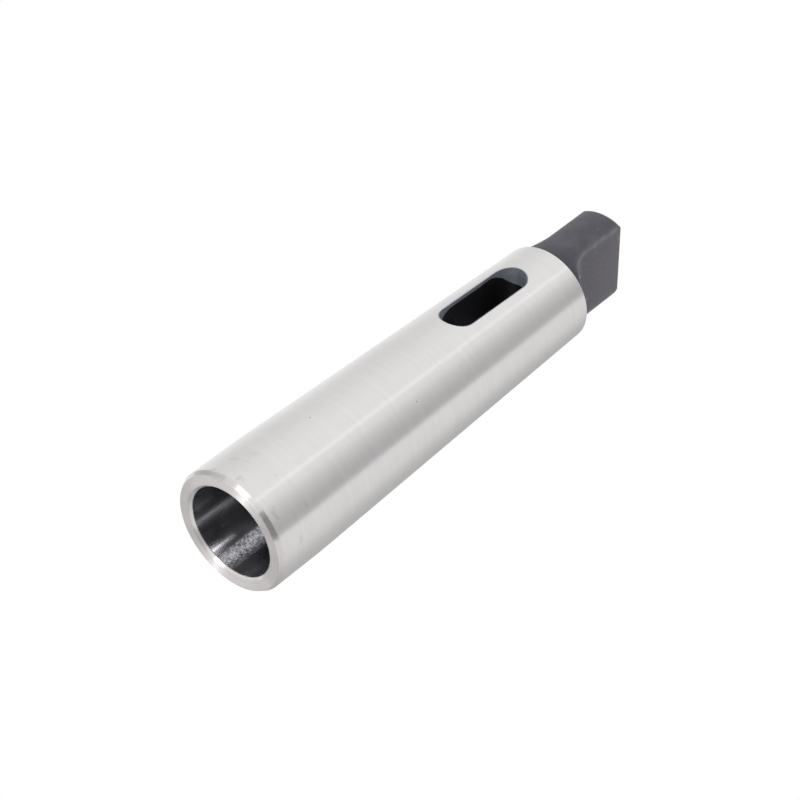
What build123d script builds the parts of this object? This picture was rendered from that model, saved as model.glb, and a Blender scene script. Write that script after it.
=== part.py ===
from build123d import *
from math import radians, tan
import os

# Morse taper sleeve: a number 4 taper outside, a number 3 tapered socket inside.
# Sizes are millimetres. The axis is Z, the mouth lies in the plane z = 0 and the tang points up.
# The drift slot runs through along X, and the flats of the tang face along Y.

# Outside, from the mouth up
COLLAR_LENGTH = 16.0
COLLAR_TO_GAUGE = 6.5
GAUGE_DIAMETER = 31.267
TAPER_RATIO = 1 / 19.254  # diameter lost per millimetre of height
GAUGE_TO_TANG_END = 117.5
MOUTH_CHAMFER_LENGTH = 1.2
MOUTH_CHAMFER_ANGLE = 30.0  # from the axis

# Tang, from the shoulder where the taper ends
TANG_LENGTH = 24.0
TANG_THICKNESS = 11.0
TANG_END_RADIUS = 1.6
SHOULDER_STEP = 1.4
SHOULDER_CHAMFER = 0.4
CUTTER_RADIUS = 8.0
CUTTER_TO_SHOULDER = 0.4

# Drift slot
SLOT_LENGTH = 28.7
SLOT_WIDTH = 8.8
SLOT_TO_SHOULDER = 10.9
SLOT_EDGE_BREAK = 0.3

# Socket
MOUTH_WALL = 3.89  # between the collar and the socket's gauge diameter, in the plane of the mouth
SOCKET_TAPER_RATIO = 1 / 19.922
SOCKET_CHAMFER = 0.7
SOCKET_INTO_SLOT = 7.6
RELIEF_LENGTH = 11.8
DRILL_POINT_ANGLE = 118.0

# Centre hole in the end of the tang
CENTRE_CONE_DIAMETER = 5.3
CENTRE_CONE_ANGLE = 60.0
CENTRE_PILOT_DIAMETER = 2.5
CENTRE_PILOT_DEPTH = 7.0

# How far cutting bodies reach past the surfaces they open
OVERCUT = 2.0

gauge_height = COLLAR_LENGTH + COLLAR_TO_GAUGE
total_length = gauge_height + GAUGE_TO_TANG_END
shoulder_height = total_length - TANG_LENGTH
slot_end = shoulder_height - SLOT_TO_SHOULDER
slot_start = slot_end - SLOT_LENGTH
socket_depth = slot_start + SOCKET_INTO_SLOT
seat_end = socket_depth - RELIEF_LENGTH


def taper_radius(height):
    """Radius of the outside taper at a height above the mouth."""
    return (GAUGE_DIAMETER - (height - gauge_height) * TAPER_RATIO) / 2


collar_radius = taper_radius(COLLAR_LENGTH)
tang_radius = taper_radius(shoulder_height) - SHOULDER_STEP
cut_reach = collar_radius + OVERCUT


def seat_radius(height):
    """Radius of the socket's tapered seat at a height above the mouth."""
    return collar_radius - MOUTH_WALL - height * SOCKET_TAPER_RATIO / 2


def turned(points):
    """Solid of revolution about Z from a closed outline of (radius, height) points."""
    with BuildPart() as body:
        with BuildSketch(Plane.XZ):
            with BuildLine():
                Polyline(*points, close=True)
            make_face()
        revolve(axis=Axis.Z)
    return body.part


def blank():
    """Chamfered collar, long taper, flat shoulder and the round bar of the tang."""
    chamfer_width = MOUTH_CHAMFER_LENGTH * tan(radians(MOUTH_CHAMFER_ANGLE))
    chamfer_foot = shoulder_height - SHOULDER_CHAMFER
    bar = turned([
        (0, 0),
        (collar_radius - chamfer_width, 0),
        (collar_radius, MOUTH_CHAMFER_LENGTH),
        (collar_radius, COLLAR_LENGTH),
        (taper_radius(chamfer_foot), chamfer_foot),
        (taper_radius(chamfer_foot) - SHOULDER_CHAMFER, shoulder_height),
        (tang_radius, shoulder_height),
        (tang_radius, total_length),
        (0, total_length),
    ])
    end_edge = bar.edges().filter_by(GeomType.CIRCLE).sort_by(Axis.Z)[-1]
    return fillet(end_edge, TANG_END_RADIUS)


def flat_cut():
    """What the cutter takes off for the flat on the +Y side, a plane that curves outwards at its foot."""
    flat = TANG_THICKNESS / 2
    foot = shoulder_height + CUTTER_TO_SHOULDER
    curve_top = foot + CUTTER_RADIUS
    top = total_length + OVERCUT
    with BuildPart() as cut:
        with BuildSketch(Plane.YZ):
            with BuildLine():
                RadiusArc((flat, curve_top), (flat + CUTTER_RADIUS, foot), -CUTTER_RADIUS)
                Polyline((flat + CUTTER_RADIUS, foot), (cut_reach, foot), (cut_reach, top), (flat, top),
                         (flat, curve_top))
            make_face()
        extrude(amount=cut_reach, both=True)
    return cut.part


def slot_cut():
    """Round-ended slot through both walls along X."""
    with BuildPart() as cut:
        with BuildSketch(Plane.YZ):
            with Locations((0, (slot_start + slot_end) / 2)):
                SlotOverall(SLOT_LENGTH, SLOT_WIDTH, rotation=90)
        extrude(amount=cut_reach, both=True)
    return cut.part


def slot_rim(body):
    """Edges where the slot opens on the outside taper, whose own edges are circles and a line."""
    taper = body.faces().filter_by(GeomType.CONE).sort_by(SortBy.AREA)[-1]
    own_types = (GeomType.CIRCLE, GeomType.LINE)
    return taper.edges().filter_by(lambda edge: edge.geom_type not in own_types)


def socket_cut():
    """Chamfered mouth, tapered seat, parallel relief and the cone left by the drill."""
    seat_start_radius = seat_radius(SOCKET_CHAMFER)
    relief_radius = seat_radius(seat_end)
    drill_point = relief_radius / tan(radians(DRILL_POINT_ANGLE / 2))
    return turned([
        (0, -OVERCUT),
        (seat_start_radius + SOCKET_CHAMFER + OVERCUT, -OVERCUT),
        (seat_start_radius, SOCKET_CHAMFER),
        (relief_radius, seat_end),
        (relief_radius, socket_depth),
        (0, socket_depth + drill_point),
    ])


def centre_cut():
    """Centre hole in the end of the tang: a cone for the lathe centre, and a drilled pilot below it."""
    cone_radius = CENTRE_CONE_DIAMETER / 2
    pilot_radius = CENTRE_PILOT_DIAMETER / 2
    slope = tan(radians(CENTRE_CONE_ANGLE / 2))
    pilot_end = total_length - CENTRE_PILOT_DEPTH
    drill_point = pilot_radius / tan(radians(DRILL_POINT_ANGLE / 2))
    return turned([
        (0, total_length + OVERCUT),
        (cone_radius + OVERCUT * slope, total_length + OVERCUT),
        (pilot_radius, total_length - (cone_radius - pilot_radius) / slope),
        (pilot_radius, pilot_end),
        (0, pilot_end - drill_point),
    ])


def sleeve():
    """The finished sleeve as one solid."""
    flat = flat_cut()
    body = blank() - flat - flat.mirror(Plane.XZ) - slot_cut()
    body = chamfer(slot_rim(body), SLOT_EDGE_BREAK)
    return body - socket_cut() - centre_cut()


os.makedirs("parts", exist_ok=True)
export_step(sleeve(), "parts/sleeve.step")
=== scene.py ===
"""Visual model of a morse taper sleeve: turned, milled, ground and partly blackened steel."""
import math
from collections import namedtuple

import bpy
import numpy as np
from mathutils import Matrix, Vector


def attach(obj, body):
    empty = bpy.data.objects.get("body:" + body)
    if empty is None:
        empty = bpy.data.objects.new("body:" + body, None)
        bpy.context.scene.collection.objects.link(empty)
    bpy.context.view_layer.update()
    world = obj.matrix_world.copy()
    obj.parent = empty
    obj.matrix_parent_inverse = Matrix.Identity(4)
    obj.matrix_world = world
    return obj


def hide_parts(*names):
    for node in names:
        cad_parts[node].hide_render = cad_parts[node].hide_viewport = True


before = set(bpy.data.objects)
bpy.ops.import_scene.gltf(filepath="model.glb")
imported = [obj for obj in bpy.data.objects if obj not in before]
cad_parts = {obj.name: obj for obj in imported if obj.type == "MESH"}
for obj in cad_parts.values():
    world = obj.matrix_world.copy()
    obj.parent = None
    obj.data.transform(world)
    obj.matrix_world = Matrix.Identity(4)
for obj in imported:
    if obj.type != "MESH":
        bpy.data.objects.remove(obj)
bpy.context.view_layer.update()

bl_info = {
    "name": "Morse taper sleeve",
    "version": (1, 0, 0),
    "blender": (4, 5, 0),
    "location": "View3D > Sidebar > Sleeve",
    "description": "Builds a tapered reducing sleeve, its steel finishes and a plain studio",
    "category": "Add Mesh",
}

NODE = "sleeve"
BODY = "root"

# How finely the curved surfaces are divided; a growth above 1 makes the first steps the shortest
COLUMNS_AROUND = 192
ROUNDING_STEPS = 6
END_STEPS = 12
RIM_STEPS = 6
WALL_STEPS = 16
WALL_GROWTH = 1.6
WINDOW_STEPS = 8
WINDOW_GROWTH = 1.5
FLAT_STEPS = 24
FACE_STEPS = 8
ROW_HEIGHT = 0.00125
TANG_ROW_HEIGHT = 0.000625
RING_WIDTH = 0.0005

# Where one piece ends and the next begins, and how soft the corners are
EDGE_GAP = 0.0002
WINDOW_COLUMNS = 20
WINDOW_MARGIN = 0.0045
KNEE_RADIUS = 0.2
TANG_EDGE_RADIUS = 0.0004
FLAT_END_RADIUS = 0.0004
FACE_RING = 2.0  # radius at which the rings of the end face begin, in radii of the centre hole
WEAR_WIDTH = 0.0004

# How close points and heights are when they count as one, and the least that counts as a size
MERGE_DISTANCE = 1e-7
SOCKET_DECIMALS = 9
TANG_DECIMALS = 8
TOLERANCE = 1e-9
LEAST_AREA = 1e-12

# Patterns in cells per metre along X, Y and Z
GRINDING_LINES = (120.0, 120.0, 6500.0)
GRINDING_BANDS = (30.0, 30.0, 700.0)
GRINDING_CLOUDS = (70.0, 70.0, 40.0)
STAINS = (330.0, 330.0, 480.0)
SPECKS = (139.0, 139.0, 139.0)
FACE_PATCHES = (220.0, 220.0, 220.0)
CHATTER_MARKS = (1250.0, 1250.0, 4200.0)
BORE_BLOTCHES = (160.0, 160.0, 90.0)
BLACK_GRAIN = (1400.0, 1400.0, 1400.0)
BLACK_CLOUDS = (180.0, 180.0, 120.0)
RUBBED_SPOTS = (420.0, 420.0, 420.0)
RUBBED_EDGES = (600.0, 600.0, 600.0)
SLOT_GRAIN = (60.0, 1400.0, 1400.0)
SLOT_CLOUDS = (400.0, 400.0, 400.0)
FLOOR_GRAIN = (90.0, 90.0, 90.0)

# Patterns of circles around the axis, in cells per metre outwards and along the axis
TURNING_MARKS = (5200.0, 5200.0)
BORING_RINGS = (200.0, 3800.0)

# Values of a noise between which it goes from none to full
NOISE_RANGE = (0.3, 0.7)
MARK_RANGE = (0.35, 0.65)
STAIN_RANGE = (0.58, 0.66)
SPOT_RANGE = (0.70, 0.78)

# Height of each pattern, in metres
GRINDING_DEPTH = 0.0000012
TURNING_DEPTH = 0.000003
CHATTER_DEPTH = 0.000025
GRAIN_DEPTH = 0.000008

# Darkest and lightest tone of each colour, as shares of it
GROUND_TONES = (0.975, 1.015)
TURNED_TONES = (0.85, 1.08)
BORE_TONES = (0.8, 1.15)
BLACK_TONES = (0.88, 1.12)
FLAT_TONES = (0.84, 1.0)
SLOT_TONES = (1.0, 1.2)
FLOOR_TONES = (0.985, 1.0)

# Tone of single places, and how much of it shows where it is strongest
SPECK_TONE = 0.35
SPECK_STRENGTH = 0.5
STAIN_TONE = 0.55
STAIN_STRENGTH = 0.25
# Painted shade: the tang's black darker next to the shoulder
SHOULDER_SHADE_TONE = 0.6
SHOULDER_SHADE_STRENGTH = 0.6
# Painted highlight: the flats paler in the curve of their foot
FLAT_FOOT_HIGHLIGHT_TONE = 1.3
FLAT_FOOT_HIGHLIGHT_STRENGTH = 0.8
SPOT_STRENGTH = 0.5
LEAST_EDGE_WEAR = 0.45
SLOT_RIM_TONE = 0.7
# Painted shade: black deep inside the slot
SLOT_SHADE_TONE = 0.25

# Least and greatest roughness of each finish, and what single patterns add to it or take away
GROUND_ROUGHNESS = (0.18, 0.21)
LINES_ADD = 0.04
TURNED_ROUGHNESS = (0.39, 0.44)
CHAMFER_TAKES = 0.15
BORE_ROUGHNESS = (0.26, 0.30)
CHATTER_ADDS = 0.18
BLACK_ROUGHNESS = (0.40, 0.52)

# Specks: radius and that of their full part, in cells and in radii, and the share of cells with one
SPECK_RADIUS = 0.04
SPECK_CORE = 0.6
SPECK_SHARE = 0.7

# Share of the fine lines in the grinding, whose rest is bands, and height of the rings in chatter marks
FINE_SHARE = 0.6
RING_SHARE = 0.03

# How far up the stains reach, in collar lengths, and where the painted highlight on the flats' foot ends, in
# cutter radii
STAIN_REACH = 1.3
FLAT_FOOT_HIGHLIGHT_END = 0.6

# Heights between which the mouth's face turns into its chamfer
CHAMFER_START = (0.00005, 0.0002)

# Side of the socket with chatter marks, and the cosines of the angle from it between which they fade in
CHATTER_SIDE = (-0.970, -0.242, 0.0)
CHATTER_FADE = (0.972, 0.988)

# Depths under the outside surface between which the slot's darker rim gives way to its walls
SLOT_RIM = (0.0001, 0.0007)

# Share of the slot's length, and the depth under the outside surface where the black of the painted shade
# begins
SLOT_SHADE_LINE = ((0.0, 0.0060), (0.06, 0.0050), (0.11, 0.0034), (0.16, 0.0020), (0.23, 0.0011), (0.66, 0.0010),
            (0.75, 0.0008), (0.82, 0.0011), (0.88, 0.0018), (0.94, 0.0030), (1.0, 0.0050))
SLOT_SHADE_FADE = 0.0004

# Camera
CAMERA_PLACE = (0.35034, 0.27957, -0.26374)
CAMERA_TURN = (140.0657, -40.2463, 91.0185)
CAMERA_LENS = 104.507

# Screens: name, radius, lowest and highest point, then azimuth in degrees and tone of places along each
SCREEN_STEP = 1.0
SCREENS = (
    ("screen_round", 0.80, -4.0, 4.0, (
        (-180.0, 0.53), (-155.0, 0.52), (-146.0, 0.90), (-120.0, 1.00), (-105.0, 0.98), (-89.0, 0.87),
        (-73.0, 0.81), (-41.0, 0.87), (-10.0, 0.94), (18.0, 0.94), (23.0, 1.09), (28.0, 0.90), (37.0, 0.87),
        (53.0, 0.70), (69.0, 0.57), (81.0, 0.50), (92.0, 0.50), (93.0, 0.86), (133.0, 0.80), (149.0, 0.66),
        (165.0, 0.57), (180.0, 0.53))),
    ("screen_near", 0.78, -0.72, -0.12, ((42.0, 0.30), (56.0, 0.10), (93.0, 0.08))),
    ("screen_side", 0.78, -0.14, 0.16, ((-100.0, 0.60), (-80.0, 0.36), (-36.0, 0.42))),
)

# Floor, which fades out between two shares of its radius
FLOOR_RADIUS = 0.5
FLOOR_RINGS = 24
FLOOR_DROP = 0.0001
FLOOR_FADE = (0.1, 0.9)

# Even light of the world, and white with its fourth channel
AMBIENT = 0.55
WHITE = (1.0, 1.0, 1.0, 1.0)

# Lamps: name, azimuth and elevation in degrees, width and height in metres, watts, and the only pieces
# that it lights, where those aren't all
LAMP_DISTANCE = 0.72
LAMP_TARGET = (0.0, 0.0, 0.03)
LAMPS = (
    ("key", -40.0, 55.0, 0.6, 0.6, 3.4, ()),
    ("fill", 125.0, 35.0, 0.6, 0.6, 5.0, ()),
    ("overhead", -8.0, -30.0, 0.16, 0.50, 0.3, ("mouth_ring",)),
    ("below", -8.0, -62.0, 0.10, 0.16, 0.7, ("mouth_ring",)),
    ("patch", -10.0, -52.0, 0.10, 0.34, 4.2, ("tapered_socket",)),
    ("strip", 30.0, -12.0, 0.012, 0.24, 3.4, ("tapered_socket",)),
    ("glow", 28.0, -9.0, 0.32, 0.12, 2.2, ("tapered_socket",)),
    ("edge", 101.0, -33.0, 0.03, 0.40, 1.9, ("tapered_socket",)),
)

# Sockets of the node that mixes two colours
MIX_FACTOR = 0
MIX_FIRST = 6
MIX_SECOND = 7
MIX_RESULT = 2

# Turn of the scratches from the tangent, as a share of a full turn
SCRATCH_TURN = 0.25

# Points of a surface, and its faces of four and of three corners
Shell = namedtuple("Shell", "points quads triangles")


def length(name, description, default):
    """A size property in metres."""
    return bpy.props.FloatProperty(name=name, description=description, default=default, unit="LENGTH",
                                   precision=5)


def angle(name, description, degrees):
    """An angle property, whose default is given in degrees."""
    return bpy.props.FloatProperty(name=name, description=description, default=math.radians(degrees),
                                   subtype="ANGLE")


def ratio(name, description, default):
    """A property that is one length divided by another."""
    return bpy.props.FloatProperty(name=name, description=description, default=default)


def colour(name, description, default):
    """A colour property."""
    return bpy.props.FloatVectorProperty(name=name, description=description, default=default, size=3,
                                         subtype="COLOR", min=0.0, max=1.0)


class SleeveSizes(bpy.types.PropertyGroup):
    """Sizes of the sleeve, as its solid model has them, and the rounding of its edges."""
    collar_length: length("Collar length", "Parallel part next to the mouth", 0.016)
    gauge_height: length("Gauge height", "Height of the outside gauge plane above the mouth", 0.0225)
    gauge_diameter: length("Gauge diameter", "Outside diameter in the gauge plane", 0.031267)
    taper_length: ratio("Taper", "Length in which the outside diameter shrinks by one unit", 19.254)
    total_length: length("Total length", "From the mouth to the end of the tang", 0.14)
    mouth_chamfer: length("Mouth chamfer", "Height of the chamfer around the mouth", 0.0012)
    mouth_chamfer_angle: angle("Chamfer angle", "Angle of that chamfer from the axis", 30.0)
    shoulder_height: length("Shoulder height", "Height at which the taper ends", 0.116)
    shoulder_step: length("Shoulder step", "Width of the shoulder below the neck", 0.0014)
    shoulder_chamfer: length("Shoulder chamfer", "Chamfer at the end of the taper", 0.0004)
    tang_thickness: length("Tang thickness", "Distance between the two flats", 0.011)
    tang_end_radius: length("Tang end radius", "Rounding of the tang's end", 0.0016)
    cutter_radius: length("Cutter radius", "Radius of the curve at the foot of each flat", 0.008)
    cutter_gap: length("Cutter gap", "Height of the flats' feet above the shoulder", 0.0004)
    slot_start: length("Slot start", "Lower end of the drift slot", 0.0764)
    slot_end: length("Slot end", "Upper end of the drift slot", 0.1051)
    slot_width: length("Slot width", "Width of the drift slot", 0.0088)
    slot_break: length("Slot edge break", "Width of the broken edge around the slot", 0.0003)
    mouth_wall: length("Mouth wall", "Wall between the collar and the socket at the mouth", 0.00389)
    socket_taper_length: ratio("Socket taper", "Length in which the socket's diameter shrinks by one unit",
                               19.922)
    socket_chamfer: length("Socket chamfer", "Chamfer at the mouth of the socket", 0.0007)
    seat_end: length("Seat end", "Height at which the socket turns parallel", 0.0722)
    socket_depth: length("Socket depth", "Height at which the drilled cone begins", 0.084)
    drill_angle: angle("Drill point angle", "Full angle of the drilled cones", 118.0)
    centre_diameter: length("Centre hole diameter", "Width of the centre hole in the tang's end", 0.0053)
    pilot_diameter: length("Pilot diameter", "Width of the pilot hole below it", 0.0025)
    pilot_depth: length("Pilot depth", "Depth of the pilot hole", 0.007)
    centre_angle: angle("Centre angle", "Full angle of the centre hole", 60.0)
    edge_radius: length("Edge radius", "Rounding of the turned edges", 0.00012)
    neck_radius: length("Neck radius", "Rounding between the shoulder and the neck", 0.00024)


class SleeveColours(bpy.types.PropertyGroup):
    """Colours of the finishes and of the floor."""
    ground: colour("Ground steel", "Base colour of the ground taper", (0.805, 0.79, 0.785))
    turned: colour("Turned steel", "Base colour of the mouth ring", (0.80, 0.77, 0.765))
    bore: colour("Socket", "Base colour inside the socket", (0.27, 0.265, 0.285))
    black: colour("Blackened steel", "Base colour of the blackened tang", (0.094, 0.094, 0.112))
    milled: colour("Blackened flats", "Base colour of the tang's two flats", (0.106, 0.101, 0.115))
    slot: colour("Slot walls", "Base colour of the slot's walls next to their edge", (0.42, 0.455, 0.52))
    worn: colour("Worn edge", "Colour where the black is rubbed off", (0.23, 0.225, 0.23))
    floor: colour("Floor", "Colour of the floor", (0.92, 0.92, 0.92))


def drawn_back(past, radius):
    """How far a quarter circle has left its tangent at a distance along it; nothing before its start."""
    past = np.clip(past, 0.0, radius)
    return radius - np.sqrt(radius ** 2 - past ** 2)


class Profile:
    """The sleeve's radii and widths at any height, worked out from its sizes."""

    def __init__(self, s):
        self.s = s
        self.slot_low = s.slot_start + s.slot_width / 2
        self.slot_high = s.slot_end - s.slot_width / 2
        self.collar = self.taper(s.collar_length)
        self.tang = self.taper(s.shoulder_height) - s.shoulder_step
        self.neck = s.shoulder_height + s.cutter_gap
        self.curve_top = s.shoulder_height + s.cutter_radius
        self.relief = self.seat(s.seat_end)
        self.drill_slope = math.tan(s.drill_angle / 2)
        self.drill_top = s.socket_depth + self.relief / self.drill_slope
        self.drill_closes = self.drill_top - s.slot_width / 2 / self.drill_slope
        self.bore_start = s.socket_chamfer + EDGE_GAP
        self.ground_start = s.mouth_chamfer + EDGE_GAP
        self.taper_end = s.shoulder_height - s.shoulder_chamfer
        self.face_radius = self.taper(self.taper_end) - s.shoulder_chamfer

    def taper(self, height):
        """Outside radius: the gauge radius less half the taper for each unit of height above the gauge."""
        return (self.s.gauge_diameter - (height - self.s.gauge_height) / self.s.taper_length) / 2

    def seat(self, height):
        """Radius of the socket's tapered seat, which shrinks evenly from the mouth."""
        return self.collar - self.s.mouth_wall - height / self.s.socket_taper_length / 2

    def socket(self, height):
        """Radius of the socket above its mouth chamfer: seat, parallel relief, then the drilled cone."""
        cone = (self.drill_top - height) * self.drill_slope
        return np.maximum(np.minimum(np.maximum(self.seat(height), self.relief), cone), 0.0)

    def slot_half_width(self, height):
        """Half the slot's width at a height: straight sides with a half circle at each end."""
        half = self.s.slot_width / 2
        past = np.maximum(np.maximum(self.slot_low - height, height - self.slot_high), 0.0)
        return np.sqrt(np.maximum(half ** 2 - past ** 2, 0.0))

    def flat_half(self, height):
        """Half the distance between the flats: constant, then a quarter circle outwards at the foot."""
        radius = self.s.cutter_radius
        return self.s.tang_thickness / 2 + drawn_back(self.neck + radius - height, radius)


def points_at(*coordinates):
    """Points from their coordinates, each an array or one value for all."""
    return np.stack(np.broadcast_arrays(*coordinates), axis=-1)


def rounded(points, radii, steps):
    """Line whose corners are arcs: each arc touches both runs and turns by the corner's angle."""
    points = np.array(points, float)
    t = np.linspace(0.0, 1.0, steps + 1)[:, None]
    line = [points[:1]]
    for before, corner, after, radius in zip(points, points[1:], points[2:], radii):
        back = (before - corner) / np.linalg.norm(before - corner)
        ahead = (after - corner) / np.linalg.norm(after - corner)
        half = math.acos(np.clip(back @ ahead, -1.0, 1.0)) / 2
        reach = radius / math.tan(half)
        middle = corner + (back + ahead) / np.linalg.norm(back + ahead) * radius / math.sin(half)
        first = corner + back * reach - middle
        last = corner + ahead * reach - middle
        sweep = math.pi - 2 * half
        line.append(middle + (np.sin((1 - t) * sweep) * first + np.sin(t * sweep) * last) / math.sin(sweep))
    return np.concatenate(line + [points[-1:]])


def divided(line, longest):
    """The same line, each run cut into the fewest even pieces that are no longer than a set length."""
    runs = np.linalg.norm(np.diff(line, axis=0), axis=1)
    pieces = np.maximum(np.ceil(runs / longest - TOLERANCE), 1)
    corners = np.concatenate([[0], np.cumsum(pieces)])
    steps = np.arange(corners[-1] + 1)
    return points_at(*(np.interp(steps, corners, values) for values in line.T))


def even_rows(stops, longest):
    """Heights through every stop, evenly spaced between them."""
    return divided(np.array(stops)[:, None], longest)[:, 0]


def turned_grid(line, columns):
    """Surface of revolution: radius times cosine and sine of the angle, height as it is."""
    angles = np.arange(columns) * 2 * math.pi / columns
    radius, height = line[:, :1], line[:, 1:]
    return points_at(radius * np.cos(angles), radius * np.sin(angles), height)


def grid_quads(rows, columns, closed, start):
    """Four corners of each cell of a grid of points, row after row."""
    index = start + np.arange(rows * columns).reshape(rows, columns)
    right = np.roll(index, -1, axis=1)
    cells = np.stack([index[:-1], right[:-1], right[1:], index[1:]], axis=-1)
    return (cells if closed else cells[:, :-1]).reshape(-1, 4)


class Surface:
    """Points and faces gathered from several grids; equal points become one."""

    def __init__(self):
        self.points = []
        self.quads = []
        self.count = 0

    def add(self, grid, closed=False, flip=False):
        """Adds a grid of points as quads."""
        rows, columns = grid.shape[:2]
        quads = grid_quads(rows, columns, closed, self.count)
        self.points.append(grid.reshape(-1, 3))
        self.quads.append(quads[:, ::-1] if flip else quads)
        self.count += rows * columns

    def merged(self):
        """Points joined where they meet; a cell with one doubled corner is a triangle, with more it goes."""
        points = np.concatenate(self.points)
        keys = np.round(points / MERGE_DISTANCE).astype(np.int64)
        _, first, index = np.unique(keys, axis=0, return_index=True, return_inverse=True)
        cells = index.reshape(-1)[np.concatenate(self.quads)]
        doubled = cells == np.roll(cells, 1, axis=1)
        count = doubled.sum(axis=1)
        crossed = (cells[:, 0] == cells[:, 2]) | (cells[:, 1] == cells[:, 3])
        narrow = count == 1
        triangles = cells[narrow][~doubled[narrow]].reshape(-1, 3)
        return Shell(points[first], cells[(count == 0) & ~crossed], triangles)


def area_normals(shell):
    """Unit normal of each point: the sum of its faces' normals, each weighted by the face's area."""
    normals = np.zeros_like(shell.points)
    for faces in (shell.quads, shell.triangles):
        sides = faces.shape[1]
        corners = shell.points[faces]
        first, second, third, last = (corners[:, k % sides] for k in range(4))
        across = np.cross(third - first, last - second)
        np.add.at(normals, faces, across[:, None])
    lengths = np.linalg.norm(normals, axis=1)[:, None]
    return normals / np.maximum(lengths, LEAST_AREA)


def mesh_object(name, shell, material):
    """Object at the origin whose mesh is a surface of one material."""
    mesh = bpy.data.meshes.new(name)
    mesh.from_pydata(shell.points.tolist(), [], shell.quads.tolist() + shell.triangles.tolist())
    mesh.materials.append(material)
    item = bpy.data.objects.new(name, mesh)
    bpy.context.scene.collection.objects.link(item)
    return item


def make_object(name, shell, material):
    """Piece of the sleeve, smooth, with its normals weighted by area."""
    piece = mesh_object(name, shell, material)
    piece.data.shade_smooth()
    piece.data.normals_split_custom_set_from_vertices(area_normals(shell).tolist())
    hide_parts(NODE)
    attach(piece, BODY)
    return piece


def stage_object(name, shell, material):
    """Part of the studio, which casts no shadow and gives dull surfaces no light."""
    item = mesh_object(name, shell, material)
    item.visible_diffuse = False
    item.visible_transmission = False
    item.visible_shadow = False
    return item


def give_values(mesh, name, values):
    """Stores one number on each point of a mesh."""
    attribute = mesh.attributes.new(name, "FLOAT", "POINT")
    attribute.data.foreach_set("value", np.asarray(values, np.float32))


class SlotWindow:
    """Loop of points of the taper around one opening of the slot, and the slot's outline towards each."""

    def __init__(self, shape):
        sizes = shape.s
        step = 2 * math.pi / COLUMNS_AROUND
        self.shape = shape
        self.columns = WINDOW_COLUMNS
        self.low = sizes.slot_start - WINDOW_MARGIN
        self.high = sizes.slot_end + WINDOW_MARGIN
        inner = [shape.slot_low, sizes.socket_depth, shape.drill_closes, shape.slot_high]
        self.rows = even_rows([self.low] + inner + [self.high], ROW_HEIGHT)
        across = np.arange(-self.columns, self.columns + 1) * step
        sides = self.rows[1:-1]
        loop = np.concatenate([
            points_at(across, self.low),
            points_at(across[-1], sides),
            points_at(across[::-1], self.high),
            points_at(across[0], sides[::-1]),
        ])
        turn, height = loop.T
        self.outer = points_at(shape.taper(height) * np.sin(turn), height)
        self.spine = np.clip(height, shape.slot_low, shape.slot_high)
        away = self.outer - points_at(0.0, self.spine)
        self.away = away / np.linalg.norm(away, axis=1)[:, None]

    def outline(self, offset):
        """Points at one distance from the slot's middle line, as (y, z)."""
        return points_at(self.away[:, 0] * offset, self.spine + self.away[:, 1] * offset)

    def on_taper(self, flat):
        """Points of the (y, z) plane carried along X on to the taper."""
        y, z = flat[..., 0], flat[..., 1]
        return points_at(np.sqrt(np.maximum(self.shape.taper(z) ** 2 - y ** 2, 0.0)), y, z)

    def on_socket(self, flat):
        """Points of the (y, z) plane carried along X on to the socket, or to the middle past its end."""
        y, z = flat[..., 0], flat[..., 1]
        reach = self.shape.socket(z) ** 2 - y ** 2
        least = self.shape.s.slot_width ** 2 * TOLERANCE
        return points_at(np.sqrt(np.where(reach < least, 0.0, reach)), y, z)


def half_turned(grid):
    """The same grid turned half round the axis."""
    return grid * np.array([-1.0, -1.0, 1.0])


def mouth_surface(shape):
    """Ring around the mouth: the rounded profile from the seat over both chamfers to the collar, turned."""
    s = shape.s
    seat_start = shape.seat(s.socket_chamfer)
    chamfer_width = s.mouth_chamfer * math.tan(s.mouth_chamfer_angle)
    line = rounded([
        (shape.seat(shape.bore_start), shape.bore_start),
        (seat_start, s.socket_chamfer),
        (seat_start + s.socket_chamfer, 0.0),
        (shape.collar - chamfer_width, 0.0),
        (shape.collar, s.mouth_chamfer),
        (shape.collar, shape.ground_start),
    ], [s.edge_radius] * 4, ROUNDING_STEPS)
    surface = Surface()
    surface.add(turned_grid(divided(line, RING_WIDTH), COLUMNS_AROUND), closed=True)
    return surface.merged()


def taper_surface(shape):
    """Collar and taper, turned, and a patch around each opening of the slot drawn outwards from its edge."""
    s = shape.s
    window = SlotWindow(shape)
    below = rounded([
        (shape.collar, shape.ground_start),
        (shape.collar, s.collar_length),
        (shape.taper(window.low), window.low),
    ], [KNEE_RADIUS], ROUNDING_STEPS)
    above = rounded([
        (shape.taper(window.high), window.high),
        (shape.taper(shape.taper_end), shape.taper_end),
        (shape.face_radius, s.shoulder_height),
        (shape.face_radius - EDGE_GAP, s.shoulder_height),
    ], [s.edge_radius] * 2, ROUNDING_STEPS)
    surface = Surface()
    for line in (below, above):
        surface.add(turned_grid(divided(line, ROW_HEIGHT), COLUMNS_AROUND), closed=True)
    beside = turned_grid(points_at(shape.taper(window.rows), window.rows), COLUMNS_AROUND)
    half = COLUMNS_AROUND // 2
    between = np.arange(window.columns, half - window.columns + 1)
    surface.add(beside[:, between])
    surface.add(beside[:, between + half])
    rim = window.outline(s.slot_width / 2 + s.slot_break)
    outwards = np.linspace(0.0, 1.0, WINDOW_STEPS + 1)[:, None, None] ** WINDOW_GROWTH
    patch = window.on_taper(rim + (window.outer - rim) * outwards)
    for side in (patch, half_turned(patch)):
        surface.add(side, closed=True, flip=True)
    return surface.merged()


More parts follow.
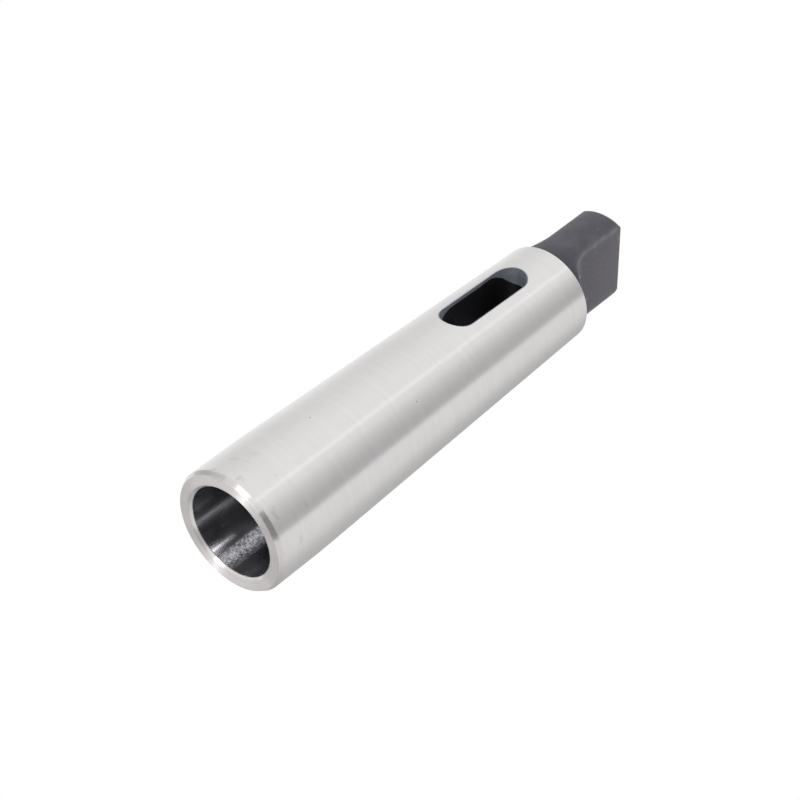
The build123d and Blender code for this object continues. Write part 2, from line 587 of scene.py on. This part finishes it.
def slot_surface(shape):
    """Walls of the slot: a rounded rim, then straight along X to the socket or to the middle of the body."""
    s = shape.s
    window = SlotWindow(shape)
    start = window.on_taper(window.outline(s.slot_width / 2 + s.slot_break))
    corner = window.on_taper(window.outline(s.slot_width / 2))
    foot = corner - np.array([s.slot_break, 0.0, 0.0])
    end = window.on_socket(window.outline(s.slot_width / 2))
    t = np.linspace(0.0, 1.0, RIM_STEPS + 1)[:, None, None]
    rim = start * (1 - t) ** 2 + corner * 2 * t * (1 - t) + foot * t ** 2
    inwards = np.linspace(0.0, 1.0, WALL_STEPS + 1)[1:, None, None] ** WALL_GROWTH
    walls = np.concatenate([rim, foot + (end - foot) * inwards])
    surface = Surface()
    for side in (walls, half_turned(walls)):
        surface.add(side, closed=True)
    return surface.merged()


def socket_surface(shape):
    """Seat, relief and drilled cone, turned; above the slot's start only the parts beside the slot."""
    s = shape.s
    line = rounded([
        (shape.seat(shape.bore_start), shape.bore_start),
        (shape.relief, s.seat_end),
        (shape.relief, s.slot_start),
    ], [KNEE_RADIUS], ROUNDING_STEPS)
    surface = Surface()
    surface.add(turned_grid(divided(line, ROW_HEIGHT), COLUMNS_AROUND), closed=True, flip=True)
    y, z = SlotWindow(shape).outline(s.slot_width / 2).T
    met = (y >= 0.0) & (z <= shape.drill_closes + TOLERANCE)
    height = np.unique(np.round(z[met], SOCKET_DECIMALS))[:, None]
    radius = shape.socket(height)
    opening = np.arcsin(np.minimum(shape.slot_half_width(height) / radius, 1.0))
    turn = opening + (math.pi - 2 * opening) * np.linspace(0.0, 1.0, COLUMNS_AROUND // 2 + 1)
    beside = points_at(radius * np.cos(turn), radius * np.sin(turn), height)
    for side in (beside, half_turned(beside)):
        surface.add(side, flip=True)
    return surface.merged()


def tang_sections(radius, half, height):
    """Outlines at several heights: a circle cut by two flats, each corner an arc that touches both."""
    radius, half, height = radius[:, None], np.minimum(half, radius)[:, None], height[:, None]
    corner = TANG_EDGE_RADIUS
    reach = np.sqrt(np.maximum((radius - corner) ** 2 - (half - corner) ** 2, 0.0))
    turn = np.arctan2(half - corner, reach)
    arc = turn * np.linspace(-1.0, 1.0, COLUMNS_AROUND // 2 + 1)
    bend = turn + (math.pi / 2 - turn) * np.linspace(0.0, 1.0, ROUNDING_STEPS + 1)[1:]
    across = reach * np.linspace(1.0, -1.0, FLAT_STEPS + 1)[1:-1]
    right = points_at(radius * np.cos(arc), radius * np.sin(arc))
    up = points_at(reach + corner * np.cos(bend), half - corner + corner * np.sin(bend))
    down = up[:, ::-1] * np.array([-1.0, 1.0])
    side = np.concatenate([right, up, points_at(across, half), down], axis=1)
    loop = np.concatenate([side, -side], axis=1)
    return points_at(loop[..., 0], loop[..., 1], height)


def neck_sections(shape):
    """Outlines from the shoulder's face through its rounded foot to the end of the neck, all circles."""
    s = shape.s
    line = rounded([
        (shape.face_radius - EDGE_GAP, s.shoulder_height),
        (shape.tang, s.shoulder_height),
        (shape.tang, shape.neck),
    ], [s.neck_radius], ROUNDING_STEPS)
    radius, height = divided(line, RING_WIDTH).T
    return tang_sections(radius, radius, height)


def flat_sections(shape):
    """Outlines above the neck: circle and flats both draw back in a quarter circle towards the end."""
    s = shape.s
    end = s.total_length
    low = end - s.tang_end_radius
    bend = np.sin(np.linspace(0.0, math.pi / 2, END_STEPS + 1))
    height = np.concatenate([
        even_rows([shape.neck, shape.neck + s.cutter_radius, low], TANG_ROW_HEIGHT),
        low + s.tang_end_radius * bend,
        end - FLAT_END_RADIUS * (1 - bend),
    ])
    height = np.unique(np.round(height, TANG_DECIMALS))[1:]
    radius = shape.tang - drawn_back(height - low, s.tang_end_radius)
    half = shape.flat_half(height) - drawn_back(height - end + FLAT_END_RADIUS, FLAT_END_RADIUS)
    return tang_sections(radius, half, height)


def end_rings(shape, rim):
    """Rings of the end face, drawn evenly from its rim to a circle, then of the centre hole to its point."""
    s = shape.s
    end = s.total_length
    hole = s.centre_diameter / 2
    pilot = s.pilot_diameter / 2
    pilot_end = end - s.pilot_depth
    line = rounded([
        (hole * FACE_RING, end),
        (hole, end),
        (pilot, end - (hole - pilot) / math.tan(s.centre_angle / 2)),
        (pilot, pilot_end),
        (0.0, pilot_end - pilot / shape.drill_slope),
    ], [s.edge_radius] * 3, ROUNDING_STEPS)
    radius, height = divided(line, RING_WIDTH)[1:, :, None].transpose(1, 0, 2)
    x, y = (rim[:, :2] / np.linalg.norm(rim[:, :2], axis=1)[:, None]).T
    rings = points_at(radius * x, radius * y, height)
    inwards = np.linspace(0.0, 1.0, FACE_STEPS + 1)[1:, None, None]
    return np.concatenate([rim + (rings[0] - rim) * inwards, rings[1:]])


def tang_surface(shape):
    """Shoulder, neck and tang as outlines stacked along the axis, then the end face and its centre hole."""
    sections = np.concatenate([neck_sections(shape), flat_sections(shape)])
    surface = Surface()
    surface.add(np.concatenate([sections, end_rings(shape, sections[-1])]), closed=True)
    return surface.merged()


def edge_wear(shape, points):
    """How near each point of the tang is to an edge: 1 on it, falling off exponentially over a set width."""
    x, y, height = points.T
    half = np.minimum(shape.flat_half(height), shape.tang)
    off_flat = np.abs(half - np.abs(y))
    off_round = np.abs(shape.tang - np.hypot(x, y))
    beside = np.where(height > shape.neck, off_round + off_flat, 1.0)
    above = np.abs(shape.s.total_length - height) + off_flat
    return np.exp(-np.minimum(beside, above) / WEAR_WIDTH)


class NodeTree:
    """Shader nodes of a material or a world."""

    def __init__(self, owner):
        owner.use_nodes = True
        self.nodes = owner.node_tree.nodes
        self.links = owner.node_tree.links
        self.nodes.clear()

    def add(self, kind, inputs, **settings):
        """Node of one kind; each input is a value to set or an output to link."""
        node = self.nodes.new(kind)
        for name, value in settings.items():
            setattr(node, name, value)
        for name, value in inputs.items():
            if isinstance(value, bpy.types.NodeSocket):
                self.links.new(value, node.inputs[name])
            else:
                node.inputs[name].default_value = value
        return node

    def math(self, operation, first, second):
        """Arithmetic on two values."""
        return self.add("ShaderNodeMath", {0: first, 1: second}, operation=operation).outputs["Value"]


class Finish(NodeTree):
    """A material made of shader nodes, with one short call for each kind of node."""

    def __init__(self, name):
        self.material = bpy.data.materials.new(name)
        super().__init__(self.material)

    def point(self, stretch=(1.0, 1.0, 1.0)):
        """Place on the object, in metres times a stretch along each axis."""
        place = self.add("ShaderNodeTexCoord", {}).outputs["Object"]
        return self.add("ShaderNodeMapping", {"Vector": place, "Scale": stretch}).outputs["Vector"]

    def height(self):
        """Height of the place above the mouth."""
        return self.add("ShaderNodeSeparateXYZ", {0: self.point()}).outputs["Z"]

    def aside(self):
        """Distance of the place from the plane midway between the flats."""
        side = self.add("ShaderNodeSeparateXYZ", {0: self.point()}).outputs["Y"]
        return self.add("ShaderNodeMath", {0: side}, operation="ABSOLUTE").outputs["Value"]

    def radius(self):
        """Distance of the place from the axis."""
        flat = self.point((1.0, 1.0, 0.0))
        return self.add("ShaderNodeVectorMath", {0: flat}, operation="LENGTH").outputs["Value"]

    def facing(self, side):
        """Cosine of the angle around the axis between the place and one side."""
        flat = self.add("ShaderNodeVectorMath", {0: self.point((1.0, 1.0, 0.0))}, operation="NORMALIZE")
        inputs = {0: flat.outputs["Vector"], 1: side}
        return self.add("ShaderNodeVectorMath", inputs, operation="DOT_PRODUCT").outputs["Value"]

    def around(self, outwards, upwards):
        """Distance from the axis and height, each stretched, with the angle left out."""
        line = self.add("ShaderNodeCombineXYZ", {"X": self.radius(), "Z": self.height()}).outputs["Vector"]
        stretch = (outwards, 1.0, upwards)
        return self.add("ShaderNodeMapping", {"Vector": line, "Scale": stretch}).outputs["Vector"]

    def noise(self, place, detail=2.0):
        """Cloudy pattern one unit in size."""
        inputs = {"Vector": place, "Scale": 1.0, "Detail": detail, "Roughness": 0.5}
        return self.add("ShaderNodeTexNoise", inputs).outputs["Fac"]

    def spread(self, value, low, high, start=0.0, end=1.0, kind="SMOOTHSTEP"):
        """Carries a range of values over to another, smoothly or in a straight line."""
        inputs = {"Value": value, "From Min": low, "From Max": high, "To Min": start, "To Max": end}
        return self.add("ShaderNodeMapRange", inputs, interpolation_type=kind).outputs["Result"]

    def evened(self, noise, start=0.0, end=1.0):
        """Carries the usual values of a noise over to a range."""
        return self.spread(noise, *NOISE_RANGE, start, end)

    def profile(self, share, stops):
        """Value that follows a smooth curve through stops, each a share from 0 to 1 and the value there."""
        most = max(value for _, value in stops)
        ramp = self.add("ShaderNodeValToRGB", {"Fac": share})
        ramp.color_ramp.interpolation = "CARDINAL"
        elements = ramp.color_ramp.elements
        given = len(elements)
        for index, (position, value) in enumerate(stops):
            element = elements[index] if index < given else elements.new(position)
            element.position = position
            element.color = (value / most,) * 3 + (1.0,)
        return self.math("MULTIPLY", ramp.outputs["Color"], most)

    def mixed(self, factor, first, second):
        """Colour between two others."""
        inputs = {MIX_FACTOR: factor, MIX_FIRST: first, MIX_SECOND: second}
        return self.add("ShaderNodeMix", inputs, data_type="RGBA").outputs[MIX_RESULT]

    def toned(self, factor, base, tones):
        """Colour that goes from the first of two tones of a base to the second."""
        return self.mixed(factor, opaque(base, tones[0]), opaque(base, tones[1]))

    def bumped(self, height, distance):
        """Normal of the surface raised by a pattern."""
        inputs = {"Height": height, "Distance": distance, "Strength": 1.0}
        return self.add("ShaderNodeBump", inputs).outputs["Normal"]

    def specks(self, stretch):
        """Sparse small dots: 1 inside them, 0 elsewhere."""
        cells = self.add("ShaderNodeTexVoronoi", {"Vector": self.point(stretch), "Scale": 1.0})
        chosen = self.add("ShaderNodeSeparateColor", {"Color": cells.outputs["Color"]})
        dot = self.spread(cells.outputs["Distance"], SPECK_RADIUS, SPECK_RADIUS * SPECK_CORE)
        return self.math("MULTIPLY", dot, self.math("LESS_THAN", chosen.outputs["Red"], SPECK_SHARE))

    def metal(self, **inputs):
        """Ends the material in one metal shader whose scratches, where it has any, run around the axis."""
        named = {name.replace("_", " ").title(): value for name, value in inputs.items()}
        if "Anisotropic" in named:
            tangent = self.add("ShaderNodeTangent", {}, direction_type="RADIAL", axis="Z")
            named.update({"Tangent": tangent.outputs["Tangent"], "Anisotropic Rotation": SCRATCH_TURN})
        shader = self.add("ShaderNodeBsdfPrincipled", named)
        self.add("ShaderNodeOutputMaterial", {"Surface": shader.outputs["BSDF"]})
        return self.material


def opaque(base, strength=1.0):
    """Colour with four channels, made darker or lighter."""
    return tuple(min(channel * strength, 1.0) for channel in base) + (1.0,)


def ground_finish(shape, colours):
    """Ground steel: fine lines around the axis, faint bands, a few specks and a stained collar."""
    s = shape.s
    finish = Finish("ground_steel")
    fine = finish.noise(finish.point(GRINDING_LINES))
    band = finish.noise(finish.point(GRINDING_BANDS), detail=3.0)
    cloud = finish.noise(finish.point(GRINDING_CLOUDS), detail=3.0)
    lines = finish.math("ADD", finish.math("MULTIPLY", fine, FINE_SHARE),
                        finish.math("MULTIPLY", band, 1.0 - FINE_SHARE))
    base = finish.toned(finish.spread(lines, *MARK_RANGE), colours.ground, GROUND_TONES)
    specks = finish.math("MULTIPLY", finish.specks(SPECKS), SPECK_STRENGTH)
    base = finish.mixed(specks, base, opaque(colours.ground, SPECK_TONE))
    collar = finish.spread(finish.height(), s.collar_length * STAIN_REACH, s.mouth_chamfer, 0.0,
                           STAIN_STRENGTH)
    stains = finish.spread(finish.noise(finish.point(STAINS), detail=4.0), *STAIN_RANGE)
    base = finish.mixed(finish.math("MULTIPLY", stains, collar), base, opaque(colours.ground, STAIN_TONE))
    rough = finish.math("ADD", finish.evened(cloud, *GROUND_ROUGHNESS),
                        finish.math("MULTIPLY", fine, LINES_ADD))
    return finish.metal(base_color=base, metallic=1.0, roughness=rough, anisotropic=0.97,
                        normal=finish.bumped(lines, GRINDING_DEPTH))


def turned_finish(colours):
    """Turned steel of the mouth ring: tool marks that are circles around the axis, smoother chamfers."""
    finish = Finish("turned_steel")
    marks = finish.noise(finish.around(*TURNING_MARKS))
    patches = finish.noise(finish.point(FACE_PATCHES), detail=3.0)
    base = finish.toned(finish.evened(marks), colours.turned, TURNED_TONES)
    chamfer = finish.spread(finish.height(), *CHAMFER_START)
    rough = finish.math("SUBTRACT", finish.evened(patches, *TURNED_ROUGHNESS),
                        finish.math("MULTIPLY", chamfer, CHAMFER_TAKES))
    return finish.metal(base_color=base, metallic=1.0, roughness=rough, anisotropic=1.0,
                        normal=finish.bumped(marks, TURNING_DEPTH))


def bore_finish(colours):
    """Bored steel of the socket: rings left by the tool, darker blotches, chatter marks on one side."""
    finish = Finish("bored_steel")
    rings = finish.noise(finish.around(*BORING_RINGS))
    chatter = finish.spread(finish.noise(finish.point(CHATTER_MARKS), detail=1.0), *MARK_RANGE)
    blotch = finish.noise(finish.point(BORE_BLOTCHES), detail=4.0)
    side = finish.spread(finish.facing(CHATTER_SIDE), *CHATTER_FADE)
    marks = finish.math("MULTIPLY", chatter, side)
    base = finish.toned(finish.evened(blotch), colours.bore, BORE_TONES)
    rough = finish.math("ADD", finish.evened(blotch, *BORE_ROUGHNESS),
                        finish.math("MULTIPLY", marks, CHATTER_ADDS))
    height = finish.math("ADD", finish.math("MULTIPLY", rings, RING_SHARE), marks)
    return finish.metal(base_color=base, metallic=1.0, roughness=rough, anisotropic=1.0,
                        normal=finish.bumped(height, CHATTER_DEPTH))


def tang_colour(finish, shape, colours):
    """Black with painted shade, darker towards the shoulder; on the flats another one, with a painted
    highlight that makes them paler in the curve of their foot.
    """
    s = shape.s
    height = finish.height()
    cloud = finish.noise(finish.point(BLACK_CLOUDS), detail=4.0)
    base = finish.toned(finish.evened(cloud), colours.black, BLACK_TONES)
    # Painted shade: the black darkens towards the shoulder
    near = finish.spread(height, shape.curve_top, s.shoulder_height, 0.0, SHOULDER_SHADE_STRENGTH)
    base = finish.mixed(near, base, opaque(colours.black, SHOULDER_SHADE_TONE))
    along = finish.spread(height, shape.curve_top, s.total_length)
    flats = finish.toned(along, colours.milled, FLAT_TONES)
    # Painted highlight: the flats paler in the curve of their foot
    foot_end = s.shoulder_height + s.cutter_radius * FLAT_FOOT_HIGHLIGHT_END
    curve = finish.spread(height, shape.curve_top, foot_end, 0.0, FLAT_FOOT_HIGHLIGHT_STRENGTH)
    flats = finish.mixed(curve, flats, opaque(colours.milled, FLAT_FOOT_HIGHLIGHT_TONE))
    inward = finish.spread(finish.radius(), shape.tang, shape.tang - TANG_EDGE_RADIUS)
    outward = finish.spread(finish.aside(), s.tang_thickness / 2 - TANG_EDGE_RADIUS, s.tang_thickness / 2)
    return finish.mixed(finish.math("MULTIPLY", inward, outward), base, flats)


def black_finish(shape, colours):
    """Blackened steel with a fine grain, rubbed off in small spots and along the edges."""
    finish = Finish("black_steel")
    grain = finish.noise(finish.point(BLACK_GRAIN), detail=3.0)
    spots = finish.spread(finish.noise(finish.point(RUBBED_SPOTS), detail=1.0), *SPOT_RANGE, 0.0,
                          SPOT_STRENGTH)
    base = finish.mixed(spots, tang_colour(finish, shape, colours), opaque(colours.worn))
    wear = finish.add("ShaderNodeAttribute", {}, attribute_name="wear").outputs["Fac"]
    patchy = finish.evened(finish.noise(finish.point(RUBBED_EDGES), detail=3.0), LEAST_EDGE_WEAR, 1.0)
    base = finish.mixed(finish.math("MULTIPLY", wear, patchy), base, opaque(colours.worn))
    return finish.metal(base_color=base, metallic=0.6, roughness=finish.evened(grain, *BLACK_ROUGHNESS),
                        normal=finish.bumped(grain, GRAIN_DEPTH))


def slot_finish(shape, colours):
    """Milled slot walls: grey next to their edge, black with painted shade deeper than a line along the
    slot.
    """
    s = shape.s
    finish = Finish("slot_steel")
    grain = finish.noise(finish.point(SLOT_GRAIN), detail=3.0)
    cloud = finish.noise(finish.point(SLOT_CLOUDS), detail=3.0)
    wall = finish.toned(finish.evened(cloud), colours.slot, SLOT_TONES)
    height = finish.height()
    outside = finish.spread(height, 0.0, s.total_length, shape.taper(0.0), shape.taper(s.total_length),
                            "LINEAR")
    depth = finish.math("SUBTRACT", outside, finish.radius())
    wall = finish.mixed(finish.spread(depth, *SLOT_RIM), opaque(colours.slot, SLOT_RIM_TONE), wall)
    # Painted shade: black deeper than a line along the slot, where its inside lies in shadow
    along = finish.spread(height, s.slot_start, s.slot_end, kind="LINEAR")
    past = finish.math("SUBTRACT", depth, finish.profile(along, SLOT_SHADE_LINE))
    shaded_deep = finish.spread(past, -SLOT_SHADE_FADE / 2, SLOT_SHADE_FADE / 2)
    base = finish.mixed(shaded_deep, wall, opaque(colours.black, SLOT_SHADE_TONE))
    return finish.metal(base_color=base, metallic=0.5, roughness=finish.evened(grain, *BLACK_ROUGHNESS),
                        normal=finish.bumped(grain, GRAIN_DEPTH))


def floor_finish(colours):
    """Pale floor seen only from above, which fades out away from the middle."""
    finish = Finish("floor")
    fade_start, fade_end = (FLOOR_RADIUS * part for part in FLOOR_FADE)
    faded = finish.spread(finish.radius(), fade_start, fade_end)
    below = finish.add("ShaderNodeNewGeometry", {}).outputs["Backfacing"]
    hidden = finish.math("MAXIMUM", below, faded)
    grain = finish.noise(finish.point(FLOOR_GRAIN), detail=3.0)
    base = finish.toned(grain, colours.floor, FLOOR_TONES)
    pale = finish.add("ShaderNodeBsdfPrincipled", {"Base Color": base, "Roughness": 0.6}).outputs["BSDF"]
    clear = finish.add("ShaderNodeBsdfTransparent", {"Color": WHITE}).outputs["BSDF"]
    mixed = finish.add("ShaderNodeMixShader", {0: hidden, 1: pale, 2: clear})
    finish.add("ShaderNodeOutputMaterial", {"Surface": mixed.outputs["Shader"]})
    return finish.material


def screen_finish():
    """Light grey screens whose tone is kept on their points."""
    finish = Finish("screens")
    tone = finish.add("ShaderNodeAttribute", {}, attribute_name="tone").outputs["Fac"]
    glow = finish.add("ShaderNodeEmission", {"Color": WHITE, "Strength": tone})
    finish.add("ShaderNodeOutputMaterial", {"Surface": glow.outputs["Emission"]})
    return finish.material


def add_floor(colours):
    """Flat disc of rings around the axis, just below the mouth, that no reflection sees."""
    radii = np.linspace(FLOOR_RADIUS, 0.0, FLOOR_RINGS)
    surface = Surface()
    surface.add(turned_grid(points_at(radii, -FLOOR_DROP), COLUMNS_AROUND), closed=True)
    floor = stage_object("floor", surface.merged(), floor_finish(colours))
    floor.visible_glossy = False


def add_screens():
    """Parts of upright cylinders whose tone goes evenly from stop to stop, seen in reflections only."""
    finish = screen_finish()
    for name, radius, low, high, stops in SCREENS:
        azimuths, tones = np.array(stops).T
        turn = np.radians(np.arange(azimuths[0], azimuths[-1] + SCREEN_STEP / 2, SCREEN_STEP))
        height = np.array([low, high])[:, None]
        surface = Surface()
        surface.add(points_at(radius * np.cos(turn), radius * np.sin(turn), height), flip=True)
        shell = surface.merged()
        screen = stage_object(name, shell, finish)
        around = np.degrees(np.arctan2(shell.points[:, 1], shell.points[:, 0]))
        give_values(screen.data, "tone", np.interp(around, azimuths, tones))
        screen.visible_camera = False


def add_lamps():
    """Large soft lamps above that light everything, and lower ones for the mouth or the socket alone."""
    for name, azimuth, elevation, width, height, power, pieces in LAMPS:
        light = bpy.data.lights.new(name, "AREA")
        light.shape = "RECTANGLE"
        light.size = width
        light.size_y = height
        light.energy = power
        turn, rise = math.radians(azimuth), math.radians(elevation)
        facing = Vector((math.cos(turn) * math.cos(rise), math.sin(turn) * math.cos(rise), math.sin(rise)))
        lamp = bpy.data.objects.new(name, light)
        lamp.location = Vector(LAMP_TARGET) + facing * LAMP_DISTANCE
        lamp.rotation_euler = facing.to_track_quat("Z", "Y").to_euler()
        lamp.visible_camera = False
        lamp.visible_glossy = bool(pieces)
        bpy.context.scene.collection.objects.link(lamp)
        if pieces:
            lit = bpy.data.collections.new("lit by " + name)
            for piece in pieces:
                lit.objects.link(bpy.data.objects[piece])
            lamp.light_linking.receiver_collection = lit


def set_world():
    """World that is white to the camera and in reflections, and lights dull surfaces evenly."""
    world = bpy.data.worlds.new("studio")
    tree = NodeTree(world)
    path = tree.add("ShaderNodeLightPath", {}).outputs
    mirrored = tree.math("MAXIMUM", path["Is Glossy Ray"], path["Is Transmission Ray"])
    seen = tree.math("MAXIMUM", path["Is Camera Ray"], mirrored)
    dull = tree.add("ShaderNodeBackground", {"Color": WHITE, "Strength": AMBIENT})
    bright = tree.add("ShaderNodeBackground", {"Color": WHITE, "Strength": 1.0})
    mixed = tree.add("ShaderNodeMixShader", {0: seen, 1: dull.outputs["Background"],
                                             2: bright.outputs["Background"]})
    tree.add("ShaderNodeOutputWorld", {"Surface": mixed.outputs["Shader"]})
    bpy.context.scene.world = world


def add_camera():
    """Camera below and beside the mouth, as the photograph was taken."""
    camera = bpy.data.cameras.new("camera")
    camera.lens = CAMERA_LENS
    holder = bpy.data.objects.new("camera", camera)
    holder.location = CAMERA_PLACE
    holder.rotation_euler = [math.radians(degrees) for degrees in CAMERA_TURN]
    bpy.context.scene.collection.objects.link(holder)
    bpy.context.scene.camera = holder


class SLEEVE_OT_add_mouth(bpy.types.Operator):
    """Adds the turned ring around the mouth"""
    bl_idname = "sleeve.add_mouth"
    bl_label = "Mouth ring"

    def execute(self, context):
        shape = Profile(context.scene.sleeve_sizes)
        make_object("mouth_ring", mouth_surface(shape), turned_finish(context.scene.sleeve_colours))
        return {"FINISHED"}


class SLEEVE_OT_add_taper(bpy.types.Operator):
    """Adds the ground collar and taper"""
    bl_idname = "sleeve.add_taper"
    bl_label = "Ground taper"

    def execute(self, context):
        shape = Profile(context.scene.sleeve_sizes)
        make_object("ground_taper", taper_surface(shape), ground_finish(shape, context.scene.sleeve_colours))
        return {"FINISHED"}


class SLEEVE_OT_add_slot(bpy.types.Operator):
    """Adds the walls of the drift slot"""
    bl_idname = "sleeve.add_slot"
    bl_label = "Drift slot"

    def execute(self, context):
        shape = Profile(context.scene.sleeve_sizes)
        make_object("drift_slot", slot_surface(shape), slot_finish(shape, context.scene.sleeve_colours))
        return {"FINISHED"}


class SLEEVE_OT_add_socket(bpy.types.Operator):
    """Adds the inside of the tapered socket"""
    bl_idname = "sleeve.add_socket"
    bl_label = "Socket"

    def execute(self, context):
        shape = Profile(context.scene.sleeve_sizes)
        make_object("tapered_socket", socket_surface(shape), bore_finish(context.scene.sleeve_colours))
        return {"FINISHED"}


class SLEEVE_OT_add_tang(bpy.types.Operator):
    """Adds the shoulder, the neck and the tang with its centre hole"""
    bl_idname = "sleeve.add_tang"
    bl_label = "Tang"

    def execute(self, context):
        shape = Profile(context.scene.sleeve_sizes)
        shell = tang_surface(shape)
        tang = make_object("tang", shell, black_finish(shape, context.scene.sleeve_colours))
        give_values(tang.data, "wear", edge_wear(shape, shell.points))
        return {"FINISHED"}


class SLEEVE_OT_add_stage(bpy.types.Operator):
    """Adds the floor, the screens, the lamps, the world and the camera"""
    bl_idname = "sleeve.add_stage"
    bl_label = "Studio"

    def execute(self, context):
        context.scene.view_settings.view_transform = "Standard"
        add_floor(context.scene.sleeve_colours)
        add_screens()
        add_lamps()
        set_world()
        add_camera()
        return {"FINISHED"}


class SLEEVE_PT_panel(bpy.types.Panel):
    """Sidebar panel with every step and every value of the sleeve"""
    bl_idname = "SLEEVE_PT_panel"
    bl_label = "Morse taper sleeve"
    bl_space_type = "VIEW_3D"
    bl_region_type = "UI"
    bl_category = "Sleeve"

    def draw(self, context):
        for operator in OPERATORS:
            self.layout.operator(operator.bl_idname)
        for values in (context.scene.sleeve_sizes, context.scene.sleeve_colours):
            box = self.layout.box()
            for name in values.__annotations__:
                box.prop(values, name)


OPERATORS = (SLEEVE_OT_add_mouth, SLEEVE_OT_add_taper, SLEEVE_OT_add_slot, SLEEVE_OT_add_socket,
             SLEEVE_OT_add_tang, SLEEVE_OT_add_stage)
CLASSES = (SleeveSizes, SleeveColours) + OPERATORS + (SLEEVE_PT_panel,)


def register():
    """Registers every class and hangs the values on the scene."""
    for item in CLASSES:
        bpy.utils.register_class(item)
    bpy.types.Scene.sleeve_sizes = bpy.props.PointerProperty(type=SleeveSizes)
    bpy.types.Scene.sleeve_colours = bpy.props.PointerProperty(type=SleeveColours)


def unregister():
    """Takes back what register did."""
    del bpy.types.Scene.sleeve_colours
    del bpy.types.Scene.sleeve_sizes
    for item in reversed(CLASSES):
        bpy.utils.unregister_class(item)


def main():
    """Builds the sleeve and its studio."""
    register()
    bpy.ops.sleeve.add_mouth()
    bpy.ops.sleeve.add_taper()
    bpy.ops.sleeve.add_slot()
    bpy.ops.sleeve.add_socket()
    bpy.ops.sleeve.add_tang()
    bpy.ops.sleeve.add_stage()


if __name__ == "__main__":
    main()
